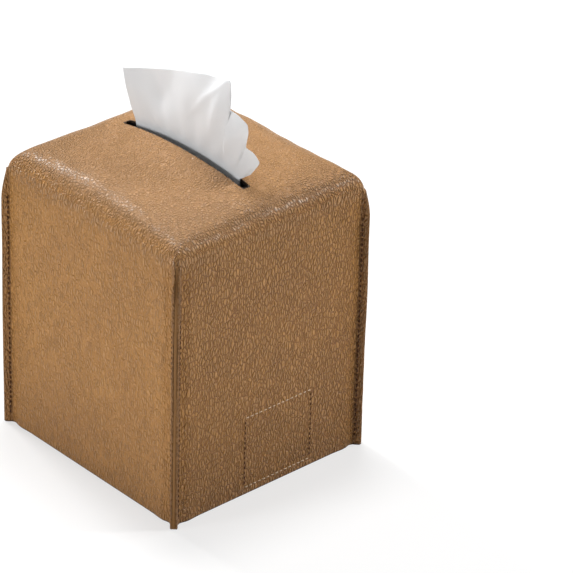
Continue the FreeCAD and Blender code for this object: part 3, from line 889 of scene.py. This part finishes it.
# Upper edge of the drawn tissue: (share of the way along it, x, z), from the left corner to the right.
TISSUE_EDGE = np.array([
    (0.0, -48.3, 181.6), (0.20, -34.0, 187.4), (0.36, -21.2, 191.9), (0.52, -4.6, 197.3),
    (0.66, 11.8, 201.6), (0.77, 26.5, 204.6), (0.792, 29.8, 204.3), (0.81, 30.2, 201.5),
    (0.85, 27.2, 190.0), (0.885, 35.5, 189.2), (0.91, 42.4, 186.8), (0.925, 42.9, 182.6),
    (0.95, 40.9, 174.6), (0.965, 47.0, 174.0), (0.985, 51.6, 170.6), (1.0, 44.5, 161.2),
])
# Creases: (height in y, share at the slot, share at the edge, half width, and where it fades in).
TISSUE_CREASES = [
    (-2.6, 0.66, 0.79, 0.030, 0.10, 0.85), (1.6, 0.74, 0.85, 0.030, 0.10, 0.70),
    (-1.5, 0.82, 0.915, 0.026, 0.10, 0.70), (1.3, 0.88, 0.950, 0.020, 0.10, 0.70),
    (-1.0, 0.40, 0.62, 0.060, 0.20, 0.75), (0.8, 0.30, 0.30, 0.070, 0.10, 0.60),
    (-1.0, 0.36, 0.79, 0.024, 0.30, 0.85), (0.7, 0.16, 0.46, 0.050, 0.15, 0.70),
]


def tissue_edge(u):
    """Upper edge of the drawn tissue in the X-Z plane: TISSUE_EDGE joined by lines, then rounded by a
    running mean over nine neighbours with bell-shaped weights."""
    share, x, z = TISSUE_EDGE.T
    weights = np.hanning(9)
    weights /= weights.sum()
    return [np.convolve(np.pad(np.interp(u, share, line), 4, mode="edge"), weights, "valid")
            for line in (x, z)]


def crease_sum(u, rise):
    """Sum of the soft creases: each is its height over the cosh of the distance from its line in half
    widths, and fades in up the leaf."""
    total = 0.0
    for height, foot, head, width, low, high in TISSUE_CREASES:
        line = foot + (head - foot) * rise
        total = total + height / np.cosh((u - line) / width) * smooth(rise, low, high)
    return total


def drawn_tissue():
    """One folded sheet over (way round, across): up the front leaf, over the fold and down the back
    leaf. Each leaf is a fan from the slot to the upper edge, with pleats that close up in the slot,
    and a straight tail below it."""
    u = bunched(361)
    cols = len(u)
    edge_x, edge_z = tissue_edge(u)
    base_x = TISSUE_LEFT + TISSUE_WIDTH * u
    base_z = EDGE_Z + crown(base_x, 2.0)
    v_tail = np.linspace(0, 1, 22)[:-1]
    v_fan = np.linspace(0, 1, 64)
    rise = np.concatenate([0 * v_tail, v_fan])[:, None]

    # Front leaf, in y: it leaves the slot 1.5 in front of the back lip.
    bulge = 2.2 * np.sin(math.pi * np.clip(u / 0.72, 0, 1)) * smooth(rise, 0.0, 0.9)
    flute = 0.15 * np.sin(2 * math.pi * 7.3 * u + 0.8) * smooth(rise, 0.0, 0.12) * (1 - 0.85 * rise)
    slant = 0.5 * np.sin(2 * math.pi * (1.5 * u + 0.6 * rise) + 2.0) * smooth(rise, 0.1, 0.7)
    middle = lip(base_x) - 1.50 + 0.9 * rise
    front = middle + bulge + crease_sum(u, rise) + flute + slant

    # Both leaves, in x and z. From the camera the edge's bulges along Y would shift it, so that much
    # is taken off.
    lean = v_fan[:, None] ** (0.72 + 0.28 * np.clip(u / 0.6, 0, 1))
    lean = lean * (0.35 + 0.65 * smooth(v_fan, -0.05, 0.3))[:, None]
    edge_y = front[-1] - TISSUE_Y
    fan_x = base_x + (edge_x - EYE_X * edge_y - base_x) * lean
    fan_z = base_z + (edge_z - EYE_Z * edge_y - base_z) * v_fan[:, None]
    tail_z = TISSUE_FOOT + (base_z - TISSUE_FOOT) * v_tail[:, None]
    x = np.concatenate([np.tile(base_x, (len(v_tail), 1)), fan_x])
    z = np.concatenate([tail_z, fan_z])

    # Back leaf: pleats that open above the slot and close again at the fold, drawn in on the right.
    open_up = smooth(rise, 0.0, 0.55)
    close_top = 1 - smooth(rise, 0.78, 1.0)
    tuck = smooth(u, 0.60, 0.80)
    phase = 2 * math.pi * 11 * u
    sway = (0.25 + 1.25 * open_up * (1 - 0.85 * tuck)) * close_top
    slide = (4.9 - 1.4 * open_up) * close_top * (1 - 0.55 * tuck * open_up)
    gap = 0.80 + 4.4 * smooth(rise, 0.0, 0.5) * (1 - 0.80 * tuck)
    back = middle + 0.7 * bulge * rise + gap + sway * np.sin(phase)
    round_over = smooth(rise, 0.70, 1.0)
    over = 0.6 * np.sqrt(1 - np.clip((rise - 0.7) / 0.3, 0, 1) ** 2)
    back = back * (1 - round_over) + (front + over) * round_over
    taper = np.sin(math.pi * np.clip(u, 0, 1)) ** 0.25
    back_x = x + slide * np.sin(2 * phase) * taper - 7.0 * tuck * open_up * (1 - round_over)

    front_leaf = np.stack([x, front, z], -1)
    back_leaf = np.stack([back_x, back, z], -1)
    points = np.concatenate([front_leaf, back_leaf[::-1][1:]])
    rows = len(points)
    corner_row, corner_col = grid_corners(rows, cols)
    uv = np.stack([corner_col / (cols - 1), corner_row / (rows - 1)], -1) * TISSUE_MAP
    piece = make_piece("drawn_tissue_sheet", points, grid_faces(rows, cols).tolist(), tissue_finish,
                       "tissue", uv)
    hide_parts("drawn_tissue")


# ---------------------------------------------------------------- assembly

def dress_cad_pieces():
    """Finishes of the pieces that are shown as the frame gives them."""
    finishes = {
        "top_lining": top_lining_finish, "loop_patch": loop_finish,
        "hook_patch": hook_finish, "hook_patch_thread": shaded_thread_finish,
        "carton_sleeve": carton_finish, "carton_top_panel": carton_finish,
        "carton_bottom_flap": carton_finish, "carton_inner_flaps": carton_finish,
        "carton_film": film_finish, "tissue_stack": stack_finish,
    }
    for wall in ("front", "back", "left", "right"):
        finishes["board_" + wall] = board_finish
        finishes["lining_" + wall] = lining_finish
    for node, finish in finishes.items():
        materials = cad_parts[node].data.materials
        materials.clear()
        materials.append(finish)


cover_skin()
padding()
seam_strips()
corner_stitches()
stitched_box("right_wall_stitches", 1, (-15.0, 27.0), (4.5, 43.5), "loop_patch_thread")
stitched_box("left_wall_stitches", -1, (-19.0, 19.0), (13.0, 37.0), "belt_root_thread")
belt()
drawn_tissue()
dress_cad_pieces()


# ---------------------------------------------------------------- studio

FLOOR_HALF = 4000.0          # half width of the floor
FLOOR_GLOW = 0.62            # share of plain white in what the eye and mirrors see of the floor
SOFT_LIGHT = 0.15            # strength of the white light from all round

# Lamps: (name, place, aim, width of the disk, power), in metres and watts.
LAMPS = [
    ("front lamp", (-0.40, -1.34, 0.42), (0, 0, 0.08), 0.46, 8.8),
    ("top lamp", (-0.25, 0.22, 1.50), (0, 0, 0.12), 0.42, 12.6),
    ("back lamp", (0.50, 1.30, 0.62), (0, 0, 0.12), 0.18, 4.3),
    ("fold lamp", (-1.12, 0.02, 1.02), (0, 0, 0.12), 0.40, 16.2),
    ("glint lamp", (0.82, 0.98, 0.90), (0, 0, 0.12), 0.22, 10.0),
]

CAMERA_TURN = 47.4           # degrees round from the front, towards the right wall
CAMERA_RISE = 29.78          # degrees up from the floor
CAMERA_ROLL = 1.58           # degrees
CAMERA_AIM = (0, 0, 65.0)
CAMERA_DISTANCE = 1850.31
CAMERA_RIGHT = 49.9          # how far it stands to the right of the line to its aim
CAMERA_UP = 15.05            # and over it
SENSOR = 36.0
IMAGE_PIXELS = 573.0
FOCAL_PIXELS = 3810.66


def put(name, data, right, up, back, place):
    """Object at a place in metres, with its own axes along right, up and back."""
    obj = bpy.data.objects.new(name, data)
    bpy.context.scene.collection.objects.link(obj)
    obj.matrix_world = Matrix(np.column_stack([right, up, back, place]).tolist() + [[0, 0, 0, 1]])
    return obj


def pale_floor():
    """Square floor, a mix of matt pale grey and, for the eye and for mirrors, plain white."""
    finish = Finish("floor", Roughness=0.9)
    finish.colour((0.9, 0.9, 0.9))
    by_eye, in_mirrors = (finish.node("LightPath", "Is %s Ray" % kind) for kind in ("Camera", "Glossy"))
    seen = by_eye.math("MAXIMUM", in_mirrors)
    glow = finish.node("Emission", 0)
    matt = Value(finish, finish.shader.outputs[0])
    mixed = finish.node("MixShader", 0, {}, {0: seen * FLOOR_GLOW, 1: matt, 2: glow})
    finish.tree.links.new(mixed.socket, finish.tree.nodes["Material Output"].inputs[0])
    corners = [(sx * FLOOR_HALF, sy * FLOOR_HALF, 0) for sx, sy in ((-1, -1), (1, -1), (1, 1), (-1, 1))]
    floor = make_piece("floor", corners, [(0, 1, 2, 3)], finish.material, None, caps=1)


def pale_world():
    """A world that gives a little light and looks white to the camera."""
    world = bpy.data.worlds.new("studio")
    bpy.context.scene.world = world
    world.use_nodes = True
    tree = world.node_tree
    light = tree.nodes["Background"]
    light.inputs["Color"].default_value = (1, 1, 1, 1)
    light.inputs["Strength"].default_value = SOFT_LIGHT
    white = tree.nodes.new("ShaderNodeBackground")
    white.inputs["Strength"].default_value = 1.0
    path = tree.nodes.new("ShaderNodeLightPath")
    mix = tree.nodes.new("ShaderNodeMixShader")
    tree.links.new(path.outputs["Is Camera Ray"], mix.inputs[0])
    tree.links.new(light.outputs[0], mix.inputs[1])
    tree.links.new(white.outputs[0], mix.inputs[2])
    tree.links.new(mix.outputs[0], tree.nodes["World Output"].inputs[0])


def lamp(name, place, aim, width, power):
    """Soft round lamp that faces its aim."""
    light = bpy.data.lights.new(name, "AREA")
    light.shape = "DISK"
    light.size = width
    light.energy = power
    back = np.subtract(place, aim)
    back /= np.linalg.norm(back)
    right = np.cross((0, 0, 1), back)
    right /= np.linalg.norm(right)
    put(name, light, right, np.cross(back, right), back, place)


def camera():
    """Camera that looks down at the corner between the front and the right wall."""
    turn, rise, roll = np.radians((CAMERA_TURN, CAMERA_RISE, CAMERA_ROLL))
    back = np.array([math.sin(turn) * math.cos(rise), -math.cos(turn) * math.cos(rise), math.sin(rise)])
    right = np.array([math.cos(turn), math.sin(turn), 0.0])
    up = np.cross(back, right)
    right, up = math.cos(roll) * right + math.sin(roll) * up, math.cos(roll) * up - math.sin(roll) * right
    place = (CAMERA_AIM + back * CAMERA_DISTANCE + right * CAMERA_RIGHT + up * CAMERA_UP) * MM
    eye = bpy.data.cameras.new("camera")
    eye.sensor_width = SENSOR
    eye.lens = SENSOR * FOCAL_PIXELS / IMAGE_PIXELS
    eye.clip_end = 20.0
    bpy.context.scene.camera = put("camera", eye, right, up, back, place)
    bpy.context.scene.view_settings.view_transform = "Standard"


pale_floor()
pale_world()
for settings in LAMPS:
    lamp(*settings)
camera()
